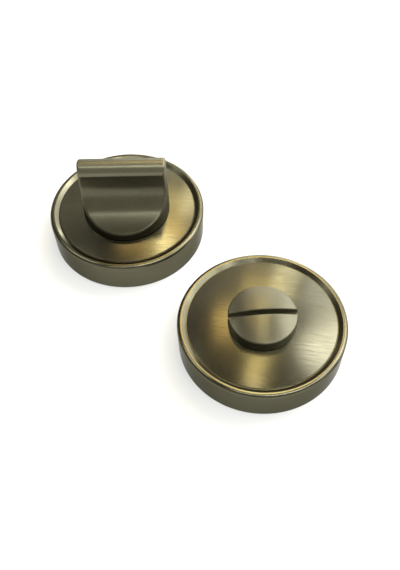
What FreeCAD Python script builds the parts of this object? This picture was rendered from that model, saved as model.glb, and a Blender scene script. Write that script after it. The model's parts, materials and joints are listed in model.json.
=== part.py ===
# Bathroom thumb turn lock: an inside half with a scooped thumb turn and an outside
# half with a slotted release button, each on a round rose, lying on their backs.
# The door face is z = 0, +Z points out of the door, and lengths are millimetres.
import FreeCAD, Part
import math
import os
import Sketcher

doc = FreeCAD.newDocument("BathroomThumbTurn")

# Driving dimensions: name, value, what it is
SIZES = [
    ("half_spread_x", 21.4, "half the distance between the two axes along X"),
    ("half_spread_y", 23.7, "half the distance between the two axes along Y"),
    ("rose_radius", 26.0, "widest radius of the rose"),
    ("rose_height", 11.15, "height of the rim's crest above the door"),
    ("wall_draft", 0.25, "how much narrower the wall is at the door"),
    ("foot_break", 0.35, "broken edge round the foot of the wall"),
    ("brow_radius", 1.25, "radius of the outer rounding of the rim"),
    ("crest_width", 0.65, "band on top of the rim"),
    ("crest_fall", 0.05, "fall of the crest band towards the centre"),
    ("groove_inset", 2.85, "distance of the groove's foot inside the widest radius"),
    ("groove_depth", 1.2, "depth of the groove below the crest"),
    ("groove_floor", 0.22, "width of the groove's flat floor"),
    ("lip_width", 0.30, "width of the lip round the face"),
    ("lip_break", 0.18, "rounding at the top of the lip"),
    ("face_drop", 0.65, "drop of the face's edge below the crest"),
    ("face_rise", 0.4, "rise of the domed face from its edge to its centre"),
    ("face_thickness", 2.1, "thickness of the rose under its face"),
    ("rose_wall", 2.1, "thickness of the rose's side wall"),
    ("cover_corner", 0.8, "inside corner between the wall and the face"),
    ("spigot_radius", 6.0, "radius of the spigots that turn in the bushes"),
    ("running_clearance", 0.05, "radial clearance of a spigot in its bush"),
    ("seat_clearance", 0.05, "clearance between pieces that seat together"),
    ("free_clearance", 0.3, "clearance round pieces that pass freely"),
    ("bush_wall", 1.2, "wall of the bush's barrel"),
    ("flange_radius", 9.5, "radius of the bush's flange"),
    ("flange_thickness", 1.1, "thickness of the bush's flange"),
    ("flange_sink", 1.07, "depth of the flange's seat below the top of the face's dome"),
    ("base_side_clearance", 0.3, "clearance between the base and the rose's wall"),
    ("plate_thickness", 2.6, "thickness of the base's plate"),
    ("rim_head_room", 1.2, "gap between the base's rim and the rose's underside"),
    ("base_rim_width", 2.3, "width of the base's rim"),
    ("hub_radius", 13.5, "outer radius of the base's hub"),
    ("recess_radius", 10.0, "radius of the recess at the back of the hub"),
    ("recess_depth", 4.2, "depth of the recess at the back of the hub"),
    ("shoulder_thickness", 0.8, "shoulder between the recess and the bush"),
    ("rib_count", 6, "ribs between the hub and the rim"),
    ("rib_thickness", 1.2, "thickness of a rib"),
    ("rib_drop", 1.0, "distance of the ribs' tops below the rim's"),
    ("bolt_inset", 4.6, "distance of the fixing bolts inside the base's edge"),
    ("bolt_hole_radius", 2.2, "clearance hole for a fixing bolt"),
    ("bolt_pad_radius", 3.7, "pad or boss round a fixing bolt"),
    ("bolt_pad_height", 3.8, "height of the pad under a bolt's head"),
    ("insert_radius", 2.75, "outer radius of a threaded insert"),
    ("insert_bore_radius", 1.65, "tapping radius of the insert's thread"),
    ("insert_waist", 0.35, "depth of the insert's holding groove"),
    ("boss_cap", 0.8, "closed end of a boss above its insert"),
    ("boss_head_room", 0.7, "gap between the bosses and the rose's underside"),
    ("ring_wire_radius", 0.6, "wire radius of the spring ring that holds the rose"),
    ("ring_drop", 2.8, "distance of the spring ring below the rim's top"),
    ("ring_clearance", 0.1, "clearance round the wire in its grooves"),
    ("ring_gap_angle", 24.0, "opening of the spring ring in degrees"),
    ("thrust_thickness", 0.5, "thickness of the thrust washer"),
    ("thrust_radius", 9.5, "outer radius of the thrust washer"),
    ("spring_height", 0.7, "height of the disc spring"),
    ("spring_thickness", 0.35, "thickness of the disc spring"),
    ("spring_radius", 9.2, "outer radius of the disc spring"),
    ("stop_thickness", 0.8, "thickness of the stop washer"),
    ("stop_radius", 9.3, "outer radius of the stop washer"),
    ("stop_lug_reach", 11.4, "radius that the stop washer's lug reaches"),
    ("stop_lug_width", 3.2, "width of the stop washer's lug"),
    ("stop_play", 1.2, "play at each end of the lug's travel in degrees"),
    ("travel_angle", 90.0, "quarter turn of the spindle in degrees"),
    ("flat_offset", 5.1, "distance of the spigot's flats from its axis"),
    ("clip_thickness", 1.0, "thickness of the circlip"),
    ("clip_groove_depth", 0.25, "depth of the circlip's groove"),
    ("clip_width", 1.75, "radial width of the circlip opposite its gap"),
    ("clip_taper", 0.3, "how far the circlip's outer circle is off centre"),
    ("clip_gap", 2.0, "opening of the circlip"),
    ("clip_ear_radius", 1.45, "radius of the circlip's ears"),
    ("clip_ear_reach", 7.75, "distance of the ears from the axis"),
    ("clip_ear_angle", 17.0, "angle of the ears from the gap in degrees"),
    ("clip_hole_radius", 0.6, "holes for the circlip pliers"),
    ("spigot_back", 0.4, "gap between the spigot's end and the door"),
    ("axial_gap", 0.1, "running gap between stacked washers"),
    ("socket_width", 6.1, "square socket for the spindle, across its flats"),
    ("turn_socket_depth", 12.0, "depth of the socket in the thumb turn"),
    ("turn_disc_radius", 14.5, "radius of the thumb turn at its foot"),
    ("turn_draft", 0.35, "how much narrower the thumb turn is at its top"),
    ("turn_height", 32.8, "height of the thumb turn's top above the door"),
    ("bead_radius", 3.4, "half-round bead along the top of the blade"),
    ("waist_half", 2.9, "half the thickness of the blade at its waist"),
    ("waist_drop", 4.7, "distance of the waist below the bead's centre"),
    ("flare_slope", 27.0, "slope at which the scoop becomes the flare, degrees"),
    ("foot_slope", 16.5, "slope at which the flare meets the foot's edge, degrees"),
    ("foot_thickness", 2.6, "height of the foot's side at the front"),
    ("milling_overrun", 1.5, "how far the scoops run past the foot's edge"),
    ("turn_edge_round", 0.8, "rounding along the thumb turn's edges"),
    ("foot_round", 0.2, "broken edge under the thumb turn and the button"),
    ("turn_rest_angle", -0.5, "angle of the blade as photographed, degrees"),
    ("button_radius", 10.55, "radius of the release button"),
    ("button_edge_height", 14.8, "height of the button's top edge above the door"),
    ("button_dome", 1.4, "rise of the button's domed top"),
    ("button_edge_round", 0.3, "rounding of the button's top edge"),
    ("slot_width", 1.7, "width of the coin slot"),
    ("slot_floor_height", 13.4, "height of the slot's floor above the door"),
    ("button_socket_depth", 11.2, "depth of the socket in the release button"),
    ("release_rest_angle", 2.9, "angle of the slot as photographed, degrees"),
]

sheet = doc.addObject("Spreadsheet::Sheet", "Sizes")
for row, (alias, number, note) in enumerate(SIZES, start=1):
    sheet.set(f"A{row}", note)
    sheet.set(f"B{row}", str(number))
    sheet.setAlias(f"B{row}", alias)
doc.recompute()


class Size:
    """A number together with the sheet formula that gives it."""

    def __init__(self, number, formula):
        self.number = number
        self.formula = formula

    def __add__(self, other):
        other = sized(other)
        return Size(self.number + other.number, f"({self.formula} + {other.formula})")

    def __sub__(self, other):
        other = sized(other)
        return Size(self.number - other.number, f"({self.formula} - {other.formula})")

    def __mul__(self, other):
        other = sized(other)
        return Size(self.number * other.number, f"({self.formula} * {other.formula})")

    def __truediv__(self, other):
        other = sized(other)
        return Size(self.number / other.number, f"({self.formula} / {other.formula})")

    def __neg__(self):
        return Size(-self.number, f"(-1 * {self.formula})")

    def cos(self):
        return Size(math.cos(math.radians(self.number)), f"cos({self.formula} * 1 deg)")

    def sin(self):
        return Size(math.sin(math.radians(self.number)), f"sin({self.formula} * 1 deg)")

    def root(self):
        return Size(math.sqrt(self.number), f"sqrt({self.formula})")


def sized(value):
    """A plain number as a Size."""
    return value if isinstance(value, Size) else Size(value, repr(float(value)))


S = {alias: Size(sheet.get(alias), f"Sizes.{alias}") for alias, number, note in SIZES}
NOTHING = sized(0)


def bind(item, prop, size):
    """Give a property its formula."""
    item.setExpression(prop, size.formula)


def place_body(label, x, y, angle=None):
    """A new body at the axis of one half, turned about Z by its rest angle."""
    body = doc.addObject("PartDesign::Body", label)
    body.Label = label
    turned = FreeCAD.Rotation(FreeCAD.Vector(0, 0, 1), angle.number if angle else 0)
    body.Placement = FreeCAD.Placement(FreeCAD.Vector(x.number, y.number, 0), turned)
    bind(body, "Placement.Base.x", x)
    bind(body, "Placement.Base.y", y)
    if angle:
        bind(body, "Placement.Rotation.Angle", angle)
    return body


def origin_feature(body, role):
    """The plane or axis of a body's own origin."""
    return next(item for item in body.Origin.OriginFeatures if item.Role == role)


def new_sketch(body, name, plane, offset=NOTHING):
    """A sketch on one of the body's origin planes, raised by an offset."""
    sketch = body.newObject("Sketcher::SketchObject", name)
    sketch.AttachmentSupport = [(origin_feature(body, plane), "")]
    sketch.MapMode = "FlatFace"
    sketch.AttachmentOffset.Base = FreeCAD.Vector(0, 0, offset.number)
    bind(sketch, "AttachmentOffset.Base.z", offset)
    return sketch


def fix_point(sketch, geometry, position, x, y):
    """Hold one point of the sketch at bound coordinates."""
    for value, kind, axis in ((x, "DistanceX", -2), (y, "DistanceY", -1)):
        if abs(value.number) < 1e-9:
            sketch.addConstraint(Sketcher.Constraint("PointOnObject", geometry, position, axis))
        else:
            constraint = Sketcher.Constraint(kind, -1, 1, geometry, position, value.number)
            index = sketch.addConstraint(constraint)
            bind(sketch, f"Constraints[{index}]", value)


def outline(sketch, corners):
    """A closed outline. Each corner is (x, y) before a straight edge, or
    (x, y, radius, side) before an arc whose centre lies left (+1) or right (-1)."""
    ends = []
    for number, corner in enumerate(corners):
        x0, y0 = corner[0], corner[1]
        x1, y1 = corners[(number + 1) % len(corners)][:2]
        start = FreeCAD.Vector(x0.number, y0.number, 0)
        end = FreeCAD.Vector(x1.number, y1.number, 0)
        if len(corner) == 2:
            index = sketch.addGeometry(Part.LineSegment(start, end))
            ends.append((index, 1, 2))
            continue
        radius, side = corner[2], corner[3]
        chord = end - start
        left = FreeCAD.Vector(-chord.y, chord.x, 0).normalize()
        reach = math.sqrt(radius.number ** 2 - (chord.Length / 2) ** 2)
        centre = (start + end) * 0.5 + left * (side * reach)
        first, last = (start, end) if side > 0 else (end, start)
        angle0 = math.atan2(first.y - centre.y, first.x - centre.x)
        angle1 = math.atan2(last.y - centre.y, last.x - centre.x)
        if angle1 < angle0:
            angle1 += 2 * math.pi
        circle = Part.Circle(centre, FreeCAD.Vector(0, 0, 1), radius.number)
        index = sketch.addGeometry(Part.ArcOfCircle(circle, angle0, angle1))
        held = sketch.addConstraint(Sketcher.Constraint("Radius", index, radius.number))
        bind(sketch, f"Constraints[{held}]", radius)
        ends.append((index, 1, 2) if side > 0 else (index, 2, 1))
    for number, (index, start_position, end_position) in enumerate(ends):
        following = ends[(number + 1) % len(ends)]
        joined = Sketcher.Constraint("Coincident", index, end_position, following[0], following[1])
        sketch.addConstraint(joined)
    for (index, start_position, end_position), corner in zip(ends, corners):
        fix_point(sketch, index, start_position, corner[0], corner[1])


def circle(sketch, x, y, radius):
    """A circle with bound centre and radius."""
    centre = FreeCAD.Vector(x.number, y.number, 0)
    index = sketch.addGeometry(Part.Circle(centre, FreeCAD.Vector(0, 0, 1), radius.number))
    held = sketch.addConstraint(Sketcher.Constraint("Radius", index, radius.number))
    bind(sketch, f"Constraints[{held}]", radius)
    fix_point(sketch, index, 3, x, y)


def box_corners(x0, x1, y0, y1):
    """The four corners of a rectangle."""
    return [(x0, y0), (x1, y0), (x1, y1), (x0, y1)]


def revolve(body, name, corners, sweep=None):
    """Turn an (r, z) outline about the body's Z axis."""
    sketch = new_sketch(body, f"{name}Profile", "XZ_Plane")
    outline(sketch, corners)
    feature = body.newObject("PartDesign::Revolution", name)
    feature.Profile = sketch
    feature.ReferenceAxis = (sketch, ["V_Axis"])
    feature.Angle = 360.0
    if sweep:
        bind(feature, "Angle", sweep)
    return feature


def pad(body, name, sketch, length):
    """Raise a sketch along its normal."""
    feature = body.newObject("PartDesign::Pad", name)
    feature.Profile = sketch
    feature.Length = length.number
    bind(feature, "Length", length)
    return feature


def cut(body, name, sketch, length, symmetric=False):
    """Cut a sketch into the body along its normal, or to both sides of it,
    and make sure that it takes material away."""
    doc.recompute()
    before = body.Shape.Volume
    feature = body.newObject("PartDesign::Pocket", name)
    feature.Profile = sketch
    feature.Reversed = not symmetric
    feature.SideType = "Symmetric" if symmetric else "One side"
    feature.Length = length.number
    bind(feature, "Length", length)
    doc.recompute()
    if not body.Shape.Volume < before - 1e-6:
        raise RuntimeError(f"{body.Label}: {name} cuts nothing")
    return feature


# Heights and radii that several pieces share
FACE_EDGE = S["rose_height"] - S["face_drop"]
FACE_CENTRE = FACE_EDGE + S["face_rise"]
UNDERSIDE = FACE_EDGE - S["face_thickness"]
RIM_TOP = UNDERSIDE - S["rim_head_room"]
CAVITY_RADIUS = S["rose_radius"] - S["rose_wall"]
BUSH_BORE = S["spigot_radius"] + S["running_clearance"]
BUSH_RADIUS = BUSH_BORE + S["bush_wall"]
BUSH_SEAT = BUSH_RADIUS + S["seat_clearance"]
FLANGE_SEAT_RADIUS = S["flange_radius"] + S["seat_clearance"]
FLANGE_SEAT = FACE_CENTRE - S["flange_sink"]
FLANGE_TOP = FLANGE_SEAT + S["flange_thickness"]
KNOB_FOOT = FLANGE_TOP + S["seat_clearance"]
SHOULDER_TOP = S["recess_depth"] + S["shoulder_thickness"]
PASSAGE_RADIUS = S["spigot_radius"] + S["free_clearance"]
BASE_RADIUS = CAVITY_RADIUS - S["base_side_clearance"]
HUB_TOP = UNDERSIDE - S["seat_clearance"]
RING_RADIUS = CAVITY_RADIUS - S["base_side_clearance"] / 2
RING_HEIGHT = RIM_TOP - S["ring_drop"]
RING_REACH = S["ring_wire_radius"] + S["ring_clearance"]
RING_FLOOR = RING_HEIGHT - RING_REACH
RING_CEILING = RING_HEIGHT + RING_REACH
BOLT_REACH = BASE_RADIUS - S["bolt_inset"]
BOSS_TOP = UNDERSIDE - S["boss_head_room"]
INSERT_BORE_DEPTH = BOSS_TOP - S["boss_cap"]

# Heights of the washers in the recess, from its roof down to the circlip
THRUST_TOP = S["recess_depth"] - S["seat_clearance"]
THRUST_BOTTOM = THRUST_TOP - S["thrust_thickness"]
SPRING_TOP = THRUST_BOTTOM - S["seat_clearance"]
SPRING_BOTTOM = SPRING_TOP - S["spring_height"]
STOP_TOP = SPRING_BOTTOM - S["axial_gap"]
STOP_BOTTOM = STOP_TOP - S["stop_thickness"]
CLIP_TOP = STOP_BOTTOM - S["seat_clearance"]
CLIP_BOTTOM = CLIP_TOP - S["clip_thickness"]
CLIP_FLOOR = S["spigot_radius"] - S["clip_groove_depth"]
CLIP_BORE = CLIP_FLOOR + S["seat_clearance"]


def make_rose(label, x, y):
    """The turned cover: drafted wall, rounded rim, groove, lip and domed face. The
    dome is an arc about the rose's axis, cut off at the hole for the bush."""
    crest = S["rose_radius"] - S["brow_radius"]
    crest_end = crest - S["crest_width"]
    groove_outer = S["rose_radius"] - S["groove_inset"]
    groove_inner = groove_outer - S["groove_floor"]
    groove_height = S["rose_height"] - S["groove_depth"]
    lip_top = groove_inner - S["lip_width"]
    face_rise = S["face_rise"]
    dome_radius = (lip_top * lip_top + face_rise * face_rise) / (face_rise * 2)
    hole_reach = dome_radius * dome_radius - FLANGE_SEAT_RADIUS * FLANGE_SEAT_RADIUS
    hole_edge = FACE_CENTRE - dome_radius + hole_reach.root()
    ring_groove = RING_RADIUS + RING_REACH
    corners = [
        (CAVITY_RADIUS, NOTHING),
        (S["rose_radius"] - S["wall_draft"] - S["foot_break"], NOTHING),
        (S["rose_radius"] - S["wall_draft"], S["foot_break"]),
        (S["rose_radius"], S["rose_height"] - S["brow_radius"], S["brow_radius"], 1),
        (crest, S["rose_height"]),
        (crest_end, S["rose_height"] - S["crest_fall"]),
        (groove_outer, groove_height),
        (groove_inner, groove_height),
        (groove_inner, FACE_EDGE - S["lip_break"]),
        (lip_top, FACE_EDGE, dome_radius, 1),
        (FLANGE_SEAT_RADIUS, hole_edge),
        (FLANGE_SEAT_RADIUS, FLANGE_SEAT),
        (BUSH_SEAT, FLANGE_SEAT),
        (BUSH_SEAT, UNDERSIDE),
        (CAVITY_RADIUS - S["cover_corner"], UNDERSIDE, S["cover_corner"], -1),
        (CAVITY_RADIUS, UNDERSIDE - S["cover_corner"]),
        (CAVITY_RADIUS, RING_CEILING),
        (ring_groove, RING_CEILING),
        (ring_groove, RING_FLOOR),
        (CAVITY_RADIUS, RING_FLOOR),
    ]
    body = place_body(label, x, y)
    revolve(body, f"{label}_turned", corners)
    return body


def make_base(label, x, y, rest_angle, travel_start):
    """The moulded base under a rose: plate, rim with the spring ring's groove, hub
    with the bush's seat in front and the washers' recess at the back, ribs and the
    window in which the stop washer's lug swings."""
    rim_inner = BASE_RADIUS - S["base_rim_width"]
    ring_groove = RING_RADIUS - RING_REACH
    corners = [
        (S["recess_radius"], NOTHING),
        (BASE_RADIUS, NOTHING),
        (BASE_RADIUS, RING_FLOOR),
        (ring_groove, RING_FLOOR),
        (ring_groove, RING_CEILING),
        (BASE_RADIUS, RING_CEILING),
        (BASE_RADIUS, RIM_TOP),
        (rim_inner, RIM_TOP),
        (rim_inner, S["plate_thickness"]),
        (S["hub_radius"], S["plate_thickness"]),
        (S["hub_radius"], HUB_TOP),
        (BUSH_SEAT, HUB_TOP),
        (BUSH_SEAT, SHOULDER_TOP),
        (PASSAGE_RADIUS, SHOULDER_TOP),
        (PASSAGE_RADIUS, S["recess_depth"]),
        (S["recess_radius"], S["recess_depth"]),
    ]
    body = place_body(label, x, y)
    revolve(body, f"{label}_turned", corners)

    rib = new_sketch(body, f"{label}_rib_plan", "XY_Plane", S["plate_thickness"])
    half_rib = S["rib_thickness"] / 2
    rib_overlap = S["base_rim_width"] / 2
    rib_start = S["hub_radius"] - rib_overlap
    outline(rib, box_corners(-half_rib, half_rib, rib_start, rim_inner + rib_overlap))
    rib_pad = pad(body, f"{label}_rib", rib, RIM_TOP - S["rib_drop"] - S["plate_thickness"])
    pattern = body.newObject("PartDesign::PolarPattern", f"{label}_ribs")
    pattern.Originals = [rib_pad]
    pattern.Axis = (origin_feature(body, "Z_Axis"), [""])
    pattern.Angle = 360.0
    pattern.Occurrences = int(S["rib_count"].number)
    bind(pattern, "Occurrences", S["rib_count"])
    body.Tip = pattern

    # The lug swings clear of the window's ends by the stop's play
    half_lug = S["stop_lug_width"] / 2
    lug_angle = half_lug / S["stop_radius"] * (180 / math.pi)
    window_start = rest_angle + travel_start - lug_angle - S["stop_play"]
    window_end = rest_angle + travel_start + S["travel_angle"] + lug_angle + S["stop_play"]
    inner = S["recess_radius"] - S["free_clearance"]
    outer = S["stop_lug_reach"] + S["free_clearance"]
    window = new_sketch(body, f"{label}_window_plan", "XY_Plane")
    outline(window, [
        (inner * window_start.cos(), inner * window_start.sin()),
        (outer * window_start.cos(), outer * window_start.sin(), outer, 1),
        (outer * window_end.cos(), outer * window_end.sin()),
        (inner * window_end.cos(), inner * window_end.sin(), inner, -1),
    ])
    cut(body, f"{label}_window", window, S["recess_depth"])
    return body


def add_bolt_pads(body, height):
    """Pads or bosses round the two fixing bolts."""
    plan = new_sketch(body, f"{body.Label}_pad_plan", "XY_Plane")
    circle(plan, BOLT_REACH, NOTHING, S["bolt_pad_radius"])
    circle(plan, -BOLT_REACH, NOTHING, S["bolt_pad_radius"])
    pad(body, f"{body.Label}_pads", plan, height)


def add_bolt_bores(body, radius, depth):
    """The two bores for fixing bolts or inserts, cut from the door side."""
    plan = new_sketch(body, f"{body.Label}_bore_plan", "XY_Plane")
    circle(plan, BOLT_REACH, NOTHING, radius)
    circle(plan, -BOLT_REACH, NOTHING, radius)
    cut(body, f"{body.Label}_bores", plan, depth)


def make_bush(label, x, y):
    """Flanged bush in the rose's hole, with its barrel down to the base's shoulder."""
    barrel_end = SHOULDER_TOP + S["seat_clearance"]
    body = place_body(label, x, y)
    revolve(body, f"{label}_turned", [
        (BUSH_BORE, barrel_end),
        (BUSH_RADIUS, barrel_end),
        (BUSH_RADIUS, FLANGE_SEAT),
        (S["flange_radius"], FLANGE_SEAT),
        (S["flange_radius"], FLANGE_TOP),
        (BUSH_BORE, FLANGE_TOP),
    ])
    return body


def make_spring_ring(label, x, y):
    """Round wire bent to an open ring, half in the rose and half in the base."""
    body = place_body(label, x, y)
    wire = new_sketch(body, f"{label}_wire", "XZ_Plane")
    circle(wire, RING_RADIUS, RING_HEIGHT, S["ring_wire_radius"])
    feature = body.newObject("PartDesign::Revolution", f"{label}_bent")
    feature.Profile = wire
    feature.ReferenceAxis = (wire, ["V_Axis"])
    feature.Angle = 360 - S["ring_gap_angle"].number
    bind(feature, "Angle", sized(360) - S["ring_gap_angle"])
    return body


def make_thrust_washer(label, x, y):
    """Flat polymer washer against the recess's roof."""
    body = place_body(label, x, y)
    corners = box_corners(PASSAGE_RADIUS, S["thrust_radius"], THRUST_BOTTOM, THRUST_TOP)
    revolve(body, f"{label}_turned", corners)
    return body


def make_disc_spring(label, x, y):
    """Coned spring washer, its rim against the thrust washer."""
    bore = PASSAGE_RADIUS + S["seat_clearance"]
    body = place_body(label, x, y)
    revolve(body, f"{label}_pressed", [
        (bore, SPRING_BOTTOM),
        (S["spring_radius"], SPRING_TOP - S["spring_thickness"]),
        (S["spring_radius"], SPRING_TOP),
        (bore, SPRING_BOTTOM + S["spring_thickness"]),
    ])
    return body


def make_stop_washer(label, x, y, angle):
    """Washer keyed on the spigot's flats, with the lug that ends the quarter turn."""
    body = place_body(label, x, y, angle)
    disc = new_sketch(body, f"{label}_disc_plan", "XY_Plane", STOP_BOTTOM)
    circle(disc, NOTHING, NOTHING, S["stop_radius"])
    pad(body, f"{label}_disc", disc, S["stop_thickness"])
    lug = new_sketch(body, f"{label}_lug_plan", "XY_Plane", STOP_BOTTOM)
    half_lug = S["stop_lug_width"] / 2
    lug_root = S["stop_radius"] - S["stop_lug_width"] / 2
    outline(lug, box_corners(lug_root, S["stop_lug_reach"], -half_lug, half_lug))
    pad(body, f"{label}_lug", lug, S["stop_thickness"])
    hole = new_sketch(body, f"{label}_hole_plan", "XY_Plane", STOP_BOTTOM)
    bore = S["spigot_radius"] + S["seat_clearance"]
    flat = S["flat_offset"] + S["seat_clearance"]
    reach = (bore * bore - flat * flat).root()
    outline(hole, [
        (reach, -flat, bore, 1),
        (reach, flat),
        (-reach, flat, bore, 1),
        (-reach, -flat),
    ])
    cut(body, f"{label}_hole", hole, S["stop_thickness"])
    return body


def make_circlip(label, x, y, angle):
    """Open retaining ring, widest opposite its gap, with two eyes for pliers."""
    body = place_body(label, x, y, angle)
    plan = new_sketch(body, f"{label}_ring_plan", "XY_Plane", CLIP_BOTTOM)
    circle(plan, -S["clip_taper"], NOTHING, CLIP_BORE + S["clip_width"] - S["clip_taper"])
    circle(plan, NOTHING, NOTHING, CLIP_BORE)
    pad(body, f"{label}_ring", plan, S["clip_thickness"])
    gap = new_sketch(body, f"{label}_gap_plan", "XY_Plane", CLIP_BOTTOM)
    half_gap = S["clip_gap"] / 2
    gap_end = S["clip_ear_reach"] + S["clip_ear_radius"]
    outline(gap, box_corners(NOTHING, gap_end, -half_gap, half_gap))
    cut(body, f"{label}_gap", gap, S["clip_thickness"])
    ear_x = S["clip_ear_reach"] * S["clip_ear_angle"].cos()
    ear_y = S["clip_ear_reach"] * S["clip_ear_angle"].sin()
    ears = new_sketch(body, f"{label}_ear_plan", "XY_Plane", CLIP_BOTTOM)
    circle(ears, ear_x, ear_y, S["clip_ear_radius"])
    circle(ears, ear_x, -ear_y, S["clip_ear_radius"])
    pad(body, f"{label}_ears", ears, S["clip_thickness"])
    holes = new_sketch(body, f"{label}_eye_plan", "XY_Plane", CLIP_BOTTOM)
    circle(holes, ear_x, ear_y, S["clip_hole_radius"])
    circle(holes, ear_x, -ear_y, S["clip_hole_radius"])
    cut(body, f"{label}_eyes", holes, S["clip_thickness"])
    return body


def spigot_corners():
    """The spigot's outline from its end up to the knob's foot, with the circlip's
    groove, shared by the thumb turn and the release button."""
    groove_low = CLIP_BOTTOM - S["seat_clearance"]
    groove_high = CLIP_TOP + S["seat_clearance"]
    lead = S["clip_groove_depth"]
    return [
        (NOTHING, S["spigot_back"]),
        (S["spigot_radius"] - lead, S["spigot_back"]),
        (S["spigot_radius"], S["spigot_back"] + lead),
        (S["spigot_radius"], groove_low),
        (CLIP_FLOOR, groove_low),
        (CLIP_FLOOR, groove_high),
        (S["spigot_radius"], groove_high),
        (S["spigot_radius"], KNOB_FOOT),
    ]


def cut_flats_and_socket(body, socket_depth):
    """Two flats that key the stop washer and the square socket for the spindle."""
    flats = new_sketch(body, f"{body.Label}_flat_plan", "XY_Plane", S["spigot_back"])
    reach = S["spigot_radius"] + S["free_clearance"]
    outline(flats, box_corners(-reach, reach, S["flat_offset"], reach))
    outline(flats, box_corners(-reach, reach, -reach, -S["flat_offset"]))
    flat_length = STOP_TOP + S["seat_clearance"] - S["spigot_back"]
    cut(body, f"{body.Label}_flats", flats, flat_length)
    socket = new_sketch(body, f"{body.Label}_socket_plan", "XY_Plane", S["spigot_back"])
    half = S["socket_width"] / 2
    outline(socket, box_corners(-half, half, -half, half))
    cut(body, f"{body.Label}_socket", socket, socket_depth)


def scoop_corners():
    """The outline of what is milled off the thumb turn's blank, seen along X: round
    bead on top, neck down to the waist, scoop and flare on both sides, closed above
    the blank. The scoop and the flare are tangent arcs, and their two radii follow
    from the distance between the waist and the foot's edge: both arcs together have
    to span it across (across) and down (down), which is two linear equations."""
    bead_height = S["turn_height"] - S["bead_radius"]
    hollow = S["bead_radius"] - S["waist_half"]
    drop = S["waist_drop"]
    neck_radius = (drop * drop + hollow * hollow) / (hollow * 2)
    waist_height = bead_height - drop
    edge_height = KNOB_FOOT + S["foot_thickness"]
    across = S["turn_disc_radius"] - S["waist_half"]
    down = waist_height - edge_height
    scoop_across = -S["flare_slope"].sin() + 1
    scoop_down = S["flare_slope"].cos()
    flare_across = S["flare_slope"].sin() - S["foot_slope"].sin()
    flare_down = S["foot_slope"].cos() - S["flare_slope"].cos()
    mixed = scoop_across * flare_down - scoop_down * flare_across
    scoop_radius = (across * flare_down - down * flare_across) / mixed
    flare_radius = (scoop_across * down - scoop_down * across) / mixed
    scoop_y = S["waist_half"] + scoop_radius * scoop_across
    scoop_z = waist_height - scoop_radius * scoop_down
    fall = S["milling_overrun"] * S["foot_slope"].sin() / S["foot_slope"].cos()
    outside = S["turn_disc_radius"] + S["milling_overrun"]
    above = S["turn_height"] + S["bead_radius"]
    return [
        (-outside, above),
        (-outside, edge_height - fall),
        (-S["turn_disc_radius"], edge_height, flare_radius, 1),
        (-scoop_y, scoop_z, scoop_radius, 1),
        (-S["waist_half"], waist_height, neck_radius, 1),
        (-S["bead_radius"], bead_height, S["bead_radius"], -1),
        (NOTHING, S["turn_height"], S["bead_radius"], -1),
        (S["bead_radius"], bead_height, neck_radius, 1),
        (S["waist_half"], waist_height, scoop_radius, 1),
        (scoop_y, scoop_z, flare_radius, 1),
        (S["turn_disc_radius"], edge_height),
        (outside, edge_height - fall),
        (outside, above),
    ]


def rim_edges(shape, lowest, steepest):
    """Names of the edges that bound the blade's and flare's sides: those above a
    height that touch the drafted side of the blank."""
    names = []
    for number, edge in enumerate(shape.Edges, start=1):
        box = edge.BoundBox
        if box.ZMin < lowest:
            continue
        middle = edge.valueAt((edge.FirstParameter + edge.LastParameter) / 2)
        if math.hypot(middle.x, middle.y) > steepest:
            names.append(f"Edge{number}")
    return names


def make_thumb_turn(label, x, y, angle):
    """One casting: round foot, scooped blade across it and the spigot below."""
    body = place_body(label, x, y, angle)
    blank_top = S["turn_height"] + S["bead_radius"] / 2
    corners = spigot_corners() + [
        (S["turn_disc_radius"] - S["foot_round"], KNOB_FOOT),
        (S["turn_disc_radius"], KNOB_FOOT + S["foot_round"]),
        (S["turn_disc_radius"] - S["turn_draft"], blank_top),
        (NOTHING, blank_top),
    ]
    revolve(body, f"{label}_blank", corners)
    scoops = new_sketch(body, f"{label}_scoop_plan", "YZ_Plane")
    outline(scoops, scoop_corners())
    doc.recompute()
    cut(body, f"{label}_scoops", scoops, S["turn_disc_radius"] * 3, symmetric=True)
    scooped = body.Tip
    side = S["turn_disc_radius"] - S["turn_draft"] * 2
    names = rim_edges(scooped.Shape, KNOB_FOOT.number + S["foot_round"].number * 2, side.number)
    rounding = body.newObject("PartDesign::Fillet", f"{label}_edges")
    rounding.Base = (scooped, names)
    rounding.Radius = S["turn_edge_round"].number
    bind(rounding, "Radius", S["turn_edge_round"])
    cut_flats_and_socket(body, S["turn_socket_depth"])
    return body


def make_release_button(label, x, y, angle):
    """One turning: domed head with a coin slot right across it, and the spigot."""
    body = place_body(label, x, y, angle)
    edge_round = S["button_edge_round"]
    dome_radius_edge = S["button_radius"] - edge_round
    dome = S["button_dome"]
    dome_radius = (dome_radius_edge * dome_radius_edge + dome * dome) / (dome * 2)
    corners = spigot_corners() + [
        (S["button_radius"] - S["foot_round"], KNOB_FOOT),
        (S["button_radius"], KNOB_FOOT + S["foot_round"]),
        (S["button_radius"], S["button_edge_height"] - edge_round),
        (dome_radius_edge, S["button_edge_height"], dome_radius, 1),
        (NOTHING, S["button_edge_height"] + dome),
    ]
    revolve(body, f"{label}_turned", corners)
    slot = new_sketch(body, f"{label}_slot_plan", "YZ_Plane")
    half = S["slot_width"] / 2
    above = S["button_edge_height"] + dome * 2
    outline(slot, box_corners(-half, half, S["slot_floor_height"], above))
    cut(body, f"{label}_slot", slot, S["button_radius"] * 3, symmetric=True)
    cut_flats_and_socket(body, S["button_socket_depth"])
    return body


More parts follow.
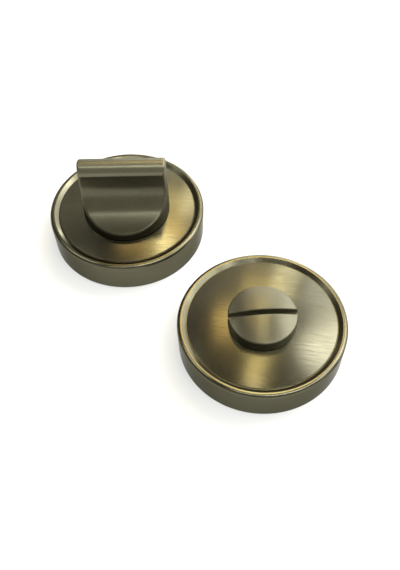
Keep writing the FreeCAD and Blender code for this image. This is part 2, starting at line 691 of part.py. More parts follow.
def make_insert(label, x, y, side):
    """A threaded brass insert in a boss of the outside base, at the bore's tapping
    size, with the groove that holds it in the moulding."""
    body_outer = S["insert_radius"]
    waist = body_outer - S["insert_waist"]
    low = S["seat_clearance"]
    high = INSERT_BORE_DEPTH - S["seat_clearance"]
    third = (high - low) / 3
    body = place_body(label, x + BOLT_REACH * side, y)
    revolve(body, f"{label}_turned", [
        (S["insert_bore_radius"], low),
        (body_outer, low),
        (body_outer, low + third),
        (waist, low + third),
        (waist, high - third),
        (body_outer, high - third),
        (body_outer, high),
        (S["insert_bore_radius"], high),
    ])
    return body


TURN_AT = (-S["half_spread_x"], S["half_spread_y"])
RELEASE_AT = (S["half_spread_x"], -S["half_spread_y"])

nodes = []
for half, spot, rest, start in (
    ("turn", TURN_AT, S["turn_rest_angle"], NOTHING),
    ("release", RELEASE_AT, S["release_rest_angle"], -S["travel_angle"]),
):
    nodes.append(make_rose(f"{half}_rose", *spot))
    base = make_base(f"{half}_base", *spot, rest, start)
    if half == "turn":
        add_bolt_pads(base, S["bolt_pad_height"])
        add_bolt_bores(base, S["bolt_hole_radius"], S["bolt_pad_height"])
    else:
        add_bolt_pads(base, BOSS_TOP)
        add_bolt_bores(base, S["insert_radius"] + S["seat_clearance"], INSERT_BORE_DEPTH)
    nodes.append(base)
    nodes.append(make_bush(f"{half}_bush", *spot))
    nodes.append(make_spring_ring(f"{half}_spring_ring", *spot))
    nodes.append(make_thrust_washer(f"{half}_thrust_washer", *spot))
    nodes.append(make_disc_spring(f"{half}_disc_spring", *spot))
    nodes.append(make_stop_washer(f"{half}_stop_washer", *spot, rest))
    nodes.append(make_circlip(f"{half}_circlip", *spot, rest))
nodes.append(make_thumb_turn("thumb_turn", *TURN_AT, S["turn_rest_angle"]))
nodes.append(make_release_button("release_button", *RELEASE_AT, S["release_rest_angle"]))
nodes.append(make_insert("release_insert_left", *RELEASE_AT, -1))
nodes.append(make_insert("release_insert_right", *RELEASE_AT, 1))

doc.recompute()

# Every feature has to be sound before anything is written
for item in doc.Objects:
    if "Invalid" in item.State or "Error" in item.State:
        raise RuntimeError(f"{item.Label} did not build: {item.State}")
for node in nodes:
    if node.Shape.isNull() or not node.Shape.isValid():
        raise RuntimeError(f"{node.Label} has no valid shape")

os.makedirs("parts", exist_ok=True)
for node in nodes:
    node.Shape.exportStep(f"parts/{node.Label}.step")
    print(f"{node.Label}: {len(node.Shape.Solids)} solid, {node.Shape.Volume:.1f} mm3")
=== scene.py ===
"""Looks of the bathroom thumb turn lock: two turned roses, the scooped thumb turn, the
slotted release button, the pieces inside the roses, and the stage they stand on.

Lengths inside the functions are millimetres about each half's own axis; put_together
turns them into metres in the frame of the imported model.
"""
import json
import math

import bmesh
import bpy
import numpy as np
from bpy.props import FloatProperty, FloatVectorProperty, IntProperty, PointerProperty
from mathutils import Matrix, Vector


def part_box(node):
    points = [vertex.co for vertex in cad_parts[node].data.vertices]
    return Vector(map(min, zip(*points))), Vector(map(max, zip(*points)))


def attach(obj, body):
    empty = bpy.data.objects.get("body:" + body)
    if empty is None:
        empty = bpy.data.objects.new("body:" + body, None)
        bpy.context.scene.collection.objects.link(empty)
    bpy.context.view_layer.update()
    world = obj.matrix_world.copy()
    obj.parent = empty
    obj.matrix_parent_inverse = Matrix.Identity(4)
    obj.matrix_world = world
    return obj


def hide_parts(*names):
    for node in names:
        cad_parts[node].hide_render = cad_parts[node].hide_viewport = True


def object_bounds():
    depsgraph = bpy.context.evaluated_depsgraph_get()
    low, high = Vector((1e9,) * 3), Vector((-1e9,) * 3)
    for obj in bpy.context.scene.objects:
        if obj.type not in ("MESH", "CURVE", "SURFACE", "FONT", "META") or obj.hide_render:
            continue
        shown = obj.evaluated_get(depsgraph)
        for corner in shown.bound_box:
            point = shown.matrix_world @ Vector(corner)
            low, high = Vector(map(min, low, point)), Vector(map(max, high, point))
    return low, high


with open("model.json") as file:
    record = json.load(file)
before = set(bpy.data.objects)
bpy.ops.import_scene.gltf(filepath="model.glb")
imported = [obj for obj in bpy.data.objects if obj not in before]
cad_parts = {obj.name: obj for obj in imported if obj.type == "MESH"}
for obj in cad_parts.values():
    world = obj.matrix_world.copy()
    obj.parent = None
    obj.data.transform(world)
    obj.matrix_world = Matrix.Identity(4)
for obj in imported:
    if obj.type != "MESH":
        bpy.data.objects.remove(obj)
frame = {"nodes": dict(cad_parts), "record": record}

bl_info = {
    "name": "Bathroom thumb turn lock",
    "version": (1, 0, 0),
    "blender": (4, 5, 0),
    "location": "View3D > Sidebar > Thumb Turn",
    "description": "Builds the roses, thumb turn, release button and stage of a bathroom lock",
    "category": "Object",
}

CAD_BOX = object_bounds()
MM = 0.001

# Points closer than this are one point
SAME_PLACE = 0.001 * MM
# Edges that turn by more than this stay sharp, on new pieces and on copies of CAD nodes
SHARP_EDGE = math.radians(35)
CAD_SHARP_EDGE = math.radians(28)

WHITE = (1.0, 1.0, 1.0, 1.0)
# The lacquer keeps the plating from mirroring fully at a glancing angle
EDGE_TINT = (0.50, 0.50, 0.48, 1.0)
# Lean of the shading normal of a rose's face for each mm from its axis
FACE_CROWN = 0.0055
# Radii in mm between which a rose's face gives way to its rim, and that of the groove
RIM_START, RIM_FULL, GROOVE_FOOT = 22.85, 22.95, 23.04
# Depth of a scratch or pit that a noise of full height stands for
GRAIN_DEPTH = 0.02 * MM
# Range in which most of a noise lies, and the narrower one of a cloudy noise
NOISE_LOW, NOISE_HIGH = 0.3, 0.7
CLOUD_LOW, CLOUD_HIGH = 0.35, 0.65
# Share of patina in the plating, before the noises vary it
PATINA_SHARE = 0.22
# Tones of the painted shade on the thumb turn's foot and of the painted light on its grip
# against the plating's own, and how much of the grip's painted light shows
PAINTED_FOOT_SHADE, PAINTED_GRIP_LIGHT, PAINTED_GRIP_LIGHT_SHARE = 0.62, 1.5, 0.55

# The hidden inside of a rose, in mm
FLANGE_SEAT_RADIUS = 9.55
BUSH_SEAT_RADIUS = 7.3
SHELL = 2.1
FLANGE_SEAT_ABOVE_UNDERSIDE = 1.43
COVER_CORNER = 0.8
RING_REACH = 0.55
RING_FLOOR_BELOW_UNDERSIDE = 4.7
RING_CEILING_BELOW_UNDERSIDE = 3.3

# Points along each stretch of the blade's section, and of the loops round the blade
FLARE_POINTS, SCOOP_POINTS, NECK_POINTS, TURN_POINTS, BEAD_POINTS = 30, 34, 14, 8, 34
FRONT_POINTS, CORNER_POINTS, SIDE_POINTS = 22, 10, 61


def axis_of(node):
    """The middle of a node's box in plan, which is the axis it is turned about."""
    low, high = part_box(node)
    return ((low.x + high.x) / 2, (low.y + high.y) / 2)


TURN_AXIS = axis_of("turn_rose")
RELEASE_AXIS = axis_of("release_rose")
ROSE_LOW, ROSE_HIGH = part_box("turn_rose")
TURN_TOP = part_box("thumb_turn")[1].z


def length(name, description, default):
    """A length in metres that the user can change."""
    return FloatProperty(name=name, description=description, default=default, unit="LENGTH",
                         precision=5)


def angle(name, description, default):
    """An angle that the user can change."""
    return FloatProperty(name=name, description=description, default=math.radians(default),
                         subtype="ANGLE", unit="ROTATION")


def colour(name, description, default):
    """A linear colour that the user can change."""
    return FloatVectorProperty(name=name, description=description, default=default,
                               subtype="COLOR", size=3, min=0.0, max=1.0)


class RoseSizes(bpy.types.PropertyGroup):
    """Sizes of the turned rose."""
    radius: length("Radius", "Widest radius, just under the rim", (ROSE_HIGH.x - ROSE_LOW.x) / 2)
    height: length("Height", "Height of the rim's crest", ROSE_HIGH.z)
    draft: length("Draft", "How much narrower the wall is at the door", 0.00025)
    brow: length("Outer rounding", "Radius of the outer rounding of the rim", 0.0011)
    crest: length("Crest", "Width of the band on top of the rim", 0.00045)
    crest_round: length("Crest rounding", "Rounding inside the crest", 0.00022)
    groove_inset: length("Groove inset", "Groove's foot inside the widest radius", 0.00285)
    groove_depth: length("Groove depth", "Depth of the groove below the crest", 0.00095)
    groove_floor: length("Groove floor", "Width of the groove's floor", 0.00022)
    lip_round: length("Lip rounding", "Rounding of the lip round the face", 0.00018)
    face_drop: length("Face drop", "Drop of the face's edge below the crest", 0.00065)
    face_rise: length("Face rise", "Rise of the domed face to its centre", 0.0004)
    segments: IntProperty(name="Segments", description="Segments round the rose", default=288,
                          min=48, max=512)


class TurnSizes(bpy.types.PropertyGroup):
    """Sizes of the scooped thumb turn."""
    foot_radius: length("Foot radius", "Radius at the foot", 0.0145)
    draft: length("Draft", "How much narrower the blank is at its top", 0.00035)
    foot_height: length("Foot height", "Height of the foot's underside", 0.01098)
    foot_thickness: length("Foot thickness", "Height of the foot's side in front", 0.0026)
    foot_break: length("Foot break", "Broken edge under the foot", 0.0002)
    bead: length("Bead", "Radius of the half-round bead on top", 0.0034)
    waist: length("Waist", "Half the blade's thickness at its waist", 0.0029)
    waist_drop: length("Waist drop", "Waist below the bead's centre", 0.0047)
    shoulder_slope: angle("Shoulder slope", "Slope where the scoop becomes the flare", 27.0)
    foot_slope: angle("Foot slope", "Slope where the flare meets the foot's edge", 16.5)
    edge_round: length("Edge rounding", "Rounding along the blade's ends", 0.0008)
    rest: angle("Rest angle", "Angle of the blade as photographed", -0.5)


class ButtonSizes(bpy.types.PropertyGroup):
    """Sizes of the release button."""
    radius: length("Radius", "Radius of the button", 0.01055)
    foot_height: length("Foot height", "Height of the button's underside", 0.01098)
    foot_break: length("Foot break", "Broken edge under the button", 0.0002)
    edge_height: length("Edge height", "Height of the top edge", 0.0148)
    dome: length("Dome", "Rise of the domed top", 0.0014)
    edge_round: length("Edge rounding", "Rounding of the top edge and of the slot", 0.00042)
    slot_width: length("Slot width", "Width of the coin slot", 0.0017)
    slot_floor: length("Slot floor", "Height of the slot's floor", 0.0134)
    rest: angle("Rest angle", "Angle of the slot as photographed", 2.9)


class SpigotSizes(bpy.types.PropertyGroup):
    """Sizes of the spigots that turn in the bushes."""
    radius: length("Radius", "Radius of a spigot", 0.006)
    back: length("Back", "Gap between the spigot's end and the door", 0.0004)
    chamfer: length("Chamfer", "Chamfer at the spigot's end", 0.00025)
    groove_low: length("Groove start", "Lower side of the circlip's groove", 0.0009)
    groove_high: length("Groove end", "Upper side of the circlip's groove", 0.002)
    groove_depth: length("Groove depth", "Depth of the circlip's groove", 0.00025)
    flat: length("Flats", "Distance of the two flats from the axis", 0.0051)
    flat_top: length("Flats' top", "Height at which the flats end", 0.00285)
    socket: length("Socket", "Width of the square socket", 0.0061)
    turn_socket: length("Turn socket", "Depth of the thumb turn's socket", 0.012)
    release_socket: length("Release socket", "Depth of the release button's socket", 0.0112)


class Finishes(bpy.types.PropertyGroup):
    """Colours of the materials."""
    bronze: colour("Bronze", "Satin antique bronze plating", (0.124, 0.117, 0.081))
    # This darker tone is also the base of the painted shade on the thumb turn's foot
    bronze_dark: colour("Bronze patina", "Darker patina of the plating", (0.080, 0.074, 0.049))
    nylon: colour("Nylon", "Moulded base", (0.012, 0.012, 0.012))
    acetal: colour("Acetal", "Bushes and thrust washers", (0.62, 0.59, 0.52))
    spring_steel: colour("Spring steel", "Rings and springs", (0.30, 0.30, 0.31))
    zinc: colour("Zinc", "Stop washers", (0.48, 0.48, 0.46))
    brass: colour("Brass", "Threaded inserts", (0.62, 0.43, 0.16))


def tangent_corners(corners, steps):
    """A line through corners (r, z, rounding), each replaced by an arc that touches both
    of its sides: the arc starts rounding * tan(half the turn) before the corner and has
    the given steps in a right angle. Points just outside each arc keep the straight
    sides flat when they are shaded smooth."""
    points = []
    for number, (r, z, rounding) in enumerate(corners):
        corner = np.array((r, z))
        before = np.array(corners[number - 1][:2]) - corner
        after = np.array(corners[(number + 1) % len(corners)][:2]) - corner
        into = before / np.linalg.norm(before)
        away = after / np.linalg.norm(after)
        if rounding <= 0:
            points.append(corner[None])
            continue
        turn = math.pi - math.acos(float(np.clip(into @ away, -1, 1)))
        reach = rounding * math.tan(turn / 2)
        middle = into + away
        middle = middle / np.linalg.norm(middle)
        centre = corner + middle * rounding / math.cos(turn / 2)
        start = corner + into * reach - centre
        end = corner + away * reach - centre
        count = max(2, int(math.ceil(steps * turn / (math.pi / 2))))
        share = np.linspace(0, 1, count + 1)[:, None]
        sweep = (np.sin((1 - share) * turn) * start + np.sin(share * turn) * end) / math.sin(turn)
        margin = min(0.06, rounding * 0.4)
        points.append((corner + into * (reach + margin))[None])
        points.append(centre + sweep)
        points.append((corner + away * (reach + margin))[None])
    return np.concatenate(points)


def turned(profile, azimuths):
    """A grid of points: each profile point (r, z) at each azimuth."""
    r, z = profile[:, 0, None], profile[:, 1, None]
    return np.stack([r * np.cos(azimuths), r * np.sin(azimuths),
                     z * np.ones_like(azimuths)], axis=-1)


def put_together(name, grids, axis, rest):
    """One closed mesh from several grids (points, closed rows, closed columns) whose
    borders lie on each other: doubles are merged, normals turned outwards, and the
    result is turned by its rest angle and moved to its axis."""
    points, faces, count = [], [], 0
    for grid, closed_rows, closed_columns in grids:
        rows, columns = grid.shape[:2]
        index = count + np.arange(rows * columns).reshape(rows, columns)
        if closed_rows:
            index = np.concatenate([index, index[:1]])
        if closed_columns:
            index = np.concatenate([index, index[:, :1]], axis=1)
        quads = np.stack([index[:-1, :-1], index[:-1, 1:], index[1:, 1:], index[1:, :-1]], axis=-1)
        faces.append(quads.reshape(-1, 4))
        points.append(grid.reshape(-1, 3))
        count += rows * columns
    mesh = bpy.data.meshes.new(name)
    mesh.from_pydata((np.concatenate(points) * MM).tolist(), [], np.concatenate(faces).tolist())
    work = bmesh.new()
    work.from_mesh(mesh)
    bmesh.ops.remove_doubles(work, verts=work.verts, dist=2 * SAME_PLACE)
    bmesh.ops.dissolve_degenerate(work, edges=work.edges, dist=SAME_PLACE)
    bmesh.ops.recalc_face_normals(work, faces=work.faces)
    place = Matrix.Translation((axis[0], axis[1], 0)) @ Matrix.Rotation(rest, 4, "Z")
    bmesh.ops.transform(work, matrix=place, verts=work.verts)
    work.to_mesh(mesh)
    work.free()
    mesh.shade_smooth()
    mesh.set_sharp_from_angle(angle=SHARP_EDGE)
    piece = bpy.data.objects.new(name, mesh)
    bpy.context.scene.collection.objects.link(piece)
    return piece


def rose_profile(sizes):
    """The closed outline of a rose: drafted wall, rounded rim, groove, lip and domed face
    outside, and the hollow with the spring ring's groove inside, through corners
    (r, z, rounding). The face is z = edge + rise * (1 - (r / lip radius) ** 2)."""
    radius, height = sizes.radius / MM, sizes.height / MM
    foot = radius - sizes.draft / MM
    groove = radius - sizes.groove_inset / MM
    lip = groove - sizes.groove_floor / MM
    groove_z = height - sizes.groove_depth / MM
    edge_z = height - sizes.face_drop / MM
    rise = sizes.face_rise / MM
    hole, bush = FLANGE_SEAT_RADIUS, BUSH_SEAT_RADIUS
    cavity, under = radius - SHELL, edge_z - SHELL
    seat_z, ring = under + FLANGE_SEAT_ABOVE_UNDERSIDE, cavity + RING_REACH
    ring_low = under - RING_FLOOR_BELOW_UNDERSIDE
    ring_high = under - RING_CEILING_BELOW_UNDERSIDE
    crest_in = radius - (sizes.brow + sizes.crest) / MM
    foot_break, wall_lean, crest_fall = 0.35, 0.03, 0.05
    rim = tangent_corners([
        (cavity, 0, 0.1),
        (foot - foot_break, 0, 0.15),
        (foot, foot_break, 0.2),
        (radius + wall_lean, height, sizes.brow / MM),
        (crest_in, height - crest_fall, sizes.crest_round / MM),
        (groove, groove_z, 0.12),
        (lip, groove_z, 0.06),
        (lip, edge_z, sizes.lip_round / MM),
        (hole, edge_z + 0.03, 0),
        (hole, under, 0),
        (cavity, under, 0),
    ], 12)[:-3]
    face_start, face_points = lip - 0.6, 30
    r = np.linspace(face_start, hole, face_points)
    face_z = edge_z + rise * (1 - (r / lip) ** 2)
    face = np.stack([r, face_z], axis=1)
    inside = tangent_corners([
        (hole, float(face_z[-1]) - 0.2, 0),
        (hole, seat_z, 0),
        (bush, seat_z, 0),
        (bush, under, 0),
        (cavity, under, COVER_CORNER),
        (cavity, ring_high, 0),
        (ring, ring_high, 0),
        (ring, ring_low, 0),
        (cavity, ring_low, 0),
        (cavity, 0.5, 0),
    ], 8)
    lift = rise * (1 - (rim[:, 0] / lip) ** 2)
    on_face = (rim[:, 0] < lip) & (rim[:, 0] > hole) & (rim[:, 1] > groove_z)
    rim[:, 1] += np.where(on_face, lift, 0)
    return np.concatenate([rim, face, inside])


def make_rose(name, axis, sizes):
    """The rose's outline turned through a full circle."""
    azimuths = np.linspace(0, 2 * math.pi, sizes.segments, endpoint=False)
    grid = turned(rose_profile(sizes), azimuths)
    return put_together(name, [(grid, True, True)], axis, 0.0)


def blade_section(sizes):
    """Half the blade's outline seen along X, from the foot's edge up to the top of the
    bead: flare and scoop as tangent arcs whose radii span the distance from the foot's
    edge to the waist, the hollow neck, a soft turn into the half-round bead, and the
    bead. Gives the half thickness, the height and the outward normal of each point.
    The flare's points are spread evenly by the azimuth at which they meet the side,
    found in a few rounds because the side's radius changes with the height."""
    foot, bead, waist = sizes.foot_radius / MM, sizes.bead / MM, sizes.waist / MM
    rounding = sizes.edge_round / MM
    top = TURN_TOP / MM
    bead_z = top - bead
    drop = sizes.waist_drop / MM
    waist_z = bead_z - drop
    edge_z = (sizes.foot_height + sizes.foot_thickness) / MM
    steep, flat = sizes.shoulder_slope, sizes.foot_slope
    spans = np.array([[1 - math.sin(steep), math.sin(steep) - math.sin(flat)],
                      [math.cos(steep), math.cos(flat) - math.cos(steep)]])
    scoop, flare = np.linalg.solve(spans, [foot - waist, waist_z - edge_z])
    scoop_c = np.array((waist + scoop, waist_z))
    flare_c = scoop_c + (flare - scoop) * np.array((math.sin(steep), math.cos(steep)))

    shoulder = scoop_c[0] - (scoop + rounding) * math.sin(steep)
    azimuth = np.linspace(0, math.acos(shoulder / (foot - rounding)), FLARE_POINTS)
    reach = foot - rounding
    for _ in range(4):
        slope = np.arcsin((flare_c[0] - reach * np.cos(azimuth)) / (flare + rounding))
        height = flare_c[1] - (flare + rounding) * np.cos(slope)
        reach = side_radius(sizes, height) - rounding
    parts = [arc_points(flare_c, flare, slope)]
    scooped = np.linspace(steep, math.pi / 2, SCOOP_POINTS)[1:]
    parts.append(arc_points(scoop_c, scoop, scooped))

    hollow = bead - waist
    neck = (drop ** 2 + hollow ** 2) / (2 * hollow)
    soft = 0.2
    lean = np.linspace(0, math.asin(drop / neck) - soft / neck, NECK_POINTS)
    parts.append(arc_points(np.array((waist + neck, waist_z)), neck, math.pi / 2 + lean[1:]))
    swing = np.linspace(soft / bead, math.pi / 2, BEAD_POINTS)
    crown = np.stack([bead * np.cos(swing), bead_z + bead * np.sin(swing),
                      np.cos(swing), np.sin(swing)], axis=1)

    # The soft turn is a cubic from the neck to the bead, tangent to both
    start, end = parts[-1][-1], crown[0]
    handle = np.linalg.norm(end[:2] - start[:2]) / 3
    along = np.array(((-start[3], start[2]), (-end[3], end[2])))
    p0, p3 = start[:2], end[:2]
    p1, p2 = p0 + along[0] * handle, p3 - along[1] * handle
    t = np.linspace(0, 1, TURN_POINTS)[1:-1, None]
    curve = (1 - t) ** 3 * p0 + 3 * (1 - t) ** 2 * t * p1 + 3 * (1 - t) * t ** 2 * p2 + t ** 3 * p3
    slant = 3 * (1 - t) ** 2 * (p1 - p0) + 6 * (1 - t) * t * (p2 - p1) + 3 * t ** 2 * (p3 - p2)
    slant = slant / np.linalg.norm(slant, axis=1, keepdims=True)
    parts.append(np.concatenate([curve, slant[:, 1:], -slant[:, :1]], axis=1))
    parts.append(crown)
    return np.concatenate(parts)


def arc_points(centre, radius, slopes):
    """Points and normals of a hollow arc whose normal leans by each slope from upright."""
    normal = np.stack([np.sin(slopes), np.cos(slopes)], axis=1)
    return np.concatenate([centre - radius * normal, normal], axis=1)


def side_radius(sizes, z):
    """Radius of the drafted blank at a height."""
    foot_z = sizes.foot_height / MM
    blank = TURN_TOP / MM + sizes.bead / MM / 2 - foot_z
    return sizes.foot_radius / MM - sizes.draft / MM * (z - foot_z) / blank


def make_thumb_turn(name, axis, sizes, spigot):
    """Closed loops nested from the foot to the top of the bead, one for each point of the
    blade's section. A loop runs straight along X over the front, rounds its end as a
    ball rolling between the section and the drafted side would, follows the side at
    one height, and comes back over the rear, which mirrors the front."""
    half, z, out, up = blade_section(sizes).T
    rounding = sizes.edge_round / MM
    centre_y, centre_z = half - rounding * out, z - rounding * up
    centre_y[-1] = 0.0
    reach = side_radius(sizes, centre_z) - rounding
    centre_x = np.sqrt(np.maximum(reach ** 2 - centre_y ** 2, 0))
    centre_x[0] = 0.0

    along = np.linspace(0, 1, FRONT_POINTS)
    front = np.stack([centre_x[:, None] * along, -half[:, None] * np.ones_like(along),
                      z[:, None] * np.ones_like(along)], axis=-1)
    lead = np.stack([np.zeros_like(out), -out, up], axis=1)
    side = np.stack([centre_x / reach, -centre_y / reach, np.zeros_like(out)], axis=1)
    opening = np.arccos(np.clip((lead * side).sum(1), -1, 1))[:, None, None]
    share = np.linspace(0, 1, CORNER_POINTS)[None, :, None]
    normal = (np.sin((1 - share) * opening) * lead[:, None]
              + np.sin(share * opening) * side[:, None]) / np.sin(opening)
    ball = np.stack([centre_x, -centre_y, centre_z], axis=1)[:, None]
    corner = ball + rounding * normal
    spread = np.arctan2(centre_y, centre_x)[:, None] * np.linspace(-1, 1, SIDE_POINTS)
    radius = (reach + rounding)[:, None]
    strip = np.stack([radius * np.cos(spread), radius * np.sin(spread),
                      centre_z[:, None] * np.ones_like(spread)], axis=-1)
    mirror_y = np.array((1, -1, 1))
    mirror_x = np.array((-1, 1, 1))
    right = np.concatenate([front, corner[:, 1:], strip[:, 1:-1], corner[:, :0:-1] * mirror_y,
                            front[:, ::-1] * mirror_y], axis=1)
    loops = np.concatenate([right, right[:, -2:0:-1] * mirror_x], axis=1)

    step = 3.0
    azimuths = np.radians(np.arange(-90, 270, step))
    foot, foot_z, lip = sizes.foot_radius / MM, sizes.foot_height / MM, sizes.foot_break / MM
    wall_top = centre_z[0]
    wall = tangent_corners([
        (0, wall_top, 0), (side_radius(sizes, wall_top), wall_top, 0),
        (foot, foot_z, lip), (0, foot_z, 0)], 6)[1:-1]
    lower = lower_body(wall, azimuths, spigot, foot_z, spigot.turn_socket / MM)
    return put_together(name, [(loops, False, True), (lower, False, True)], axis, sizes.rest)


def lower_body(wall, azimuths, spigot, foot_z, socket_depth):
    """Rows of points round the axis from a head's wall down over its underside and its
    spigot, across the spigot's end, up the square socket and in to the axis. A row is
    a circle, a circle cut by the two flats (r sin azimuth = flat), or the square
    (r max(cos, sin) = half its width)."""
    radius, back, chamfer = spigot.radius / MM, spigot.back / MM, spigot.chamfer / MM
    flat, flat_top = spigot.flat / MM, spigot.flat_top / MM
    low, high = spigot.groove_low / MM, spigot.groove_high / MM
    floor = radius - spigot.groove_depth / MM
    sine, cosine = np.abs(np.sin(azimuths)), np.abs(np.cos(azimuths))
    not_zero = 1e-9
    keyed = flat / np.maximum(sine, not_zero)
    square = spigot.socket / MM / 2 / np.maximum(sine, cosine)
    full = np.ones_like(azimuths)
    rows = [(r * full, z) for r, z in wall]
    rows += [(radius * full, foot_z), (radius * full, flat_top),
             (np.minimum(radius, keyed), flat_top)]
    for r, z in ((radius, high), (floor, high), (floor, low), (radius, low),
                 (radius, back + chamfer), (radius - chamfer, back)):
        rows.append((np.minimum(r, keyed), z))
    rows += [(square, back), (square, back + socket_depth), (0 * full, back + socket_depth)]
    return np.stack([np.stack([r * np.cos(azimuths), r * np.sin(azimuths), z * full], axis=-1)
                     for r, z in rows])


def make_release_button(name, axis, sizes, spigot):
    """A round head up to the slot's floor and two lobes on it. Each lobe is a stack of
    D-shaped rings, an arc and a chord, which rise over the wall, turn over the rounded
    edge and then shrink towards the middle of the lobe on the dome,
    z = edge + dome * (1 - (r / radius) ** 2). The azimuths nearest to the slot's ends
    are moved onto them, so that the head and the lobes share their points."""
    radius, rounding = sizes.radius / MM, sizes.edge_round / MM
    half, floor = sizes.slot_width / MM / 2, sizes.slot_floor / MM
    edge, dome = sizes.edge_height / MM, sizes.dome / MM
    around, half_way = 240, 120
    step = 360 / around
    azimuths = np.radians(np.arange(0, 360, step))
    end = math.asin(half / radius)
    close = int(round(end / azimuths[1]))
    for centre in (0, half_way):
        middle = math.radians(centre * step)
        azimuths[(centre + close) % around] = middle + end
        azimuths[(centre - close) % around] = (middle - end) % (2 * math.pi)

    # Steps round the edge's rounding, inward over the dome and along the chord. The gap
    # below the rounding keeps the wall flat when it is shaded smooth
    rounding_points, inward, chord_points, gap_below = 7, 20, 61, 0.04
    bend = np.linspace(0, math.pi / 2, rounding_points)
    inset = np.concatenate([[0, 0], rounding * (1 - np.cos(bend)),
                            np.linspace(rounding, (radius - half) / 2, inward)[1:]])
    sink = np.concatenate([[0, rounding + gap_below], rounding * (1 - np.sin(bend)),
                           np.zeros(inward - 1)])
    share = (azimuths[close:half_way + 1 - close] - end) / (math.pi - 2 * end)
    across = np.linspace(1, -1, chord_points)[1:-1]
    rings = []
    for d, fall in zip(inset, sink):
        begin = math.asin(min(1.0, (half + d) / (radius - d)))
        turn = begin + share * (math.pi - 2 * begin)
        x = np.concatenate([(radius - d) * np.cos(turn), -(radius - d) * math.cos(begin) * across])
        y = np.concatenate([(radius - d) * np.sin(turn), (half + d) * np.ones_like(across)])
        z = edge + dome * (1 - (x ** 2 + y ** 2) / radius ** 2) - fall
        rings.append(np.stack([x, y, z], axis=-1))
    lobe = np.stack(rings)
    lobe[0, :, 2] = floor

    gap = np.concatenate([azimuths[-close:] - 2 * math.pi, azimuths[:close + 1]])
    y = radius * np.sin(gap)
    x = radius * np.cos(gap)[None] * np.concatenate([[1], across, [-1]])[:, None]
    bottom = np.stack([x, y[None] * np.ones_like(x), floor * np.ones_like(x)], axis=-1)

    foot_z, lip = sizes.foot_height / MM, sizes.foot_break / MM
    wall = tangent_corners([(0, floor, 0), (radius, floor, 0), (radius, foot_z, lip),
                            (0, foot_z, 0)], 6)[1:-1]
    lower = lower_body(wall, azimuths, spigot, foot_z, spigot.release_socket / MM)
    turned_lobe = lobe * np.array((-1, -1, 1))
    grids = [(lobe, False, True), (turned_lobe, False, True), (bottom, False, False),
             (lower, False, True)]
    return put_together(name, grids, axis, sizes.rest)


class Nodes:
    """A node tree under construction: nodes are added by their type with inputs and
    settings by name, and an input that is another node's output gets linked."""

    def __init__(self, tree):
        self.tree = tree
        tree.nodes.clear()

    def add(self, kind, inputs=None, **settings):
        """A new node."""
        node = self.tree.nodes.new("ShaderNode" + kind)
        for key, value in settings.items():
            setattr(node, key, value)
        for key, value in (inputs or {}).items():
            if isinstance(value, bpy.types.NodeSocket):
                self.tree.links.new(value, node.inputs[key])
            else:
                node.inputs[key].default_value = value
        return node

    def maths(self, operation, a, b=0.0):
        """One sum on two values."""
        return self.add("Math", {0: a, 1: b}, operation=operation).outputs[0]

    def vector(self, operation, inputs):
        """One sum on vectors that gives a vector."""
        return self.add("VectorMath", inputs, operation=operation).outputs[0]

    def distance(self, place):
        """Length of a vector."""
        return self.add("VectorMath", {0: place}, operation="LENGTH").outputs["Value"]

    def ramp(self, value, low, high, to_low, to_high, smooth=False):
        """A value carried from one range to another and kept inside it."""
        kind = "SMOOTHSTEP" if smooth else "LINEAR"
        node = self.add("MapRange", {"Value": value, "From Min": low, "From Max": high,
                                     "To Min": to_low, "To Max": to_high},
                        interpolation_type=kind, clamp=True)
        return node.outputs["Result"]

    def spread(self, noise, low, high):
        """The main range of a noise carried to another range."""
        return self.ramp(noise, NOISE_LOW, NOISE_HIGH, low, high)

    def mix(self, share, a, b, kind="RGBA"):
        """Two colours, numbers or vectors mixed by a share of the second."""
        node = self.tree.nodes.new("ShaderNodeMix")
        node.data_type = kind
        sockets = [s for s in node.inputs if s.enabled]
        for socket, value in zip(sockets, (share, a, b)):
            if isinstance(value, bpy.types.NodeSocket):
                self.tree.links.new(value, socket)
            else:
                socket.default_value = value
        return next(s for s in node.outputs if s.enabled)

    def noise(self, place, scale, detail, distortion=0.0):
        """Noise with the same number of cycles per mm each way."""
        node = self.add("TexNoise", {"Vector": place, "Scale": scale, "Detail": detail,
                                     "Distortion": distortion})
        return node.outputs["Fac"]

    def stretched_noise(self, place, scale, detail, offset=0.0):
        """Noise on coordinates scaled by a different number of cycles per mm each way."""
        stretch = self.add("Mapping", {"Vector": place, "Scale": scale,
                                       "Location": (offset, offset, offset)})
        node = self.add("TexNoise", {"Vector": stretch.outputs[0], "Scale": 1.0,
                                     "Detail": detail, "Roughness": 0.6})
        return node.outputs["Fac"]

    def local_mm(self, axis, rest):
        """Object coordinates in mm about an axis, turned back by the rest angle."""
        source = self.add("TexCoord").outputs["Object"]
        place = self.add("Mapping", {"Vector": source, "Location": (axis[0], axis[1], 0),
                                     "Rotation": (0, 0, rest), "Scale": (MM, MM, MM)},
                         vector_type="TEXTURE")
        return place.outputs[0]

    def world_direction(self, vector):
        """An object-space direction, given or computed, turned into the world's."""
        node = self.add("VectorTransform", {"Vector": vector}, vector_type="VECTOR",
                        convert_from="OBJECT", convert_to="WORLD")
        return node.outputs[0]


class Finish(Nodes):
    """A material under construction."""

    def __init__(self, name):
        self.material = bpy.data.materials.new(name)
        self.material.use_nodes = True
        super().__init__(self.material.node_tree)

    def close(self, **inputs):
        """The material, once its shader has these inputs."""
        names = {key.replace("_", " "): value for key, value in inputs.items()}
        shader = self.add("BsdfPrincipled", names)
        self.add("OutputMaterial", {"Surface": shader.outputs[0]})
        return self.material


def rgba(value, factor=1.0):
    """A colour property as a four-part colour, made lighter or darker."""
    return (value[0] * factor, value[1] * factor, value[2] * factor, 1.0)


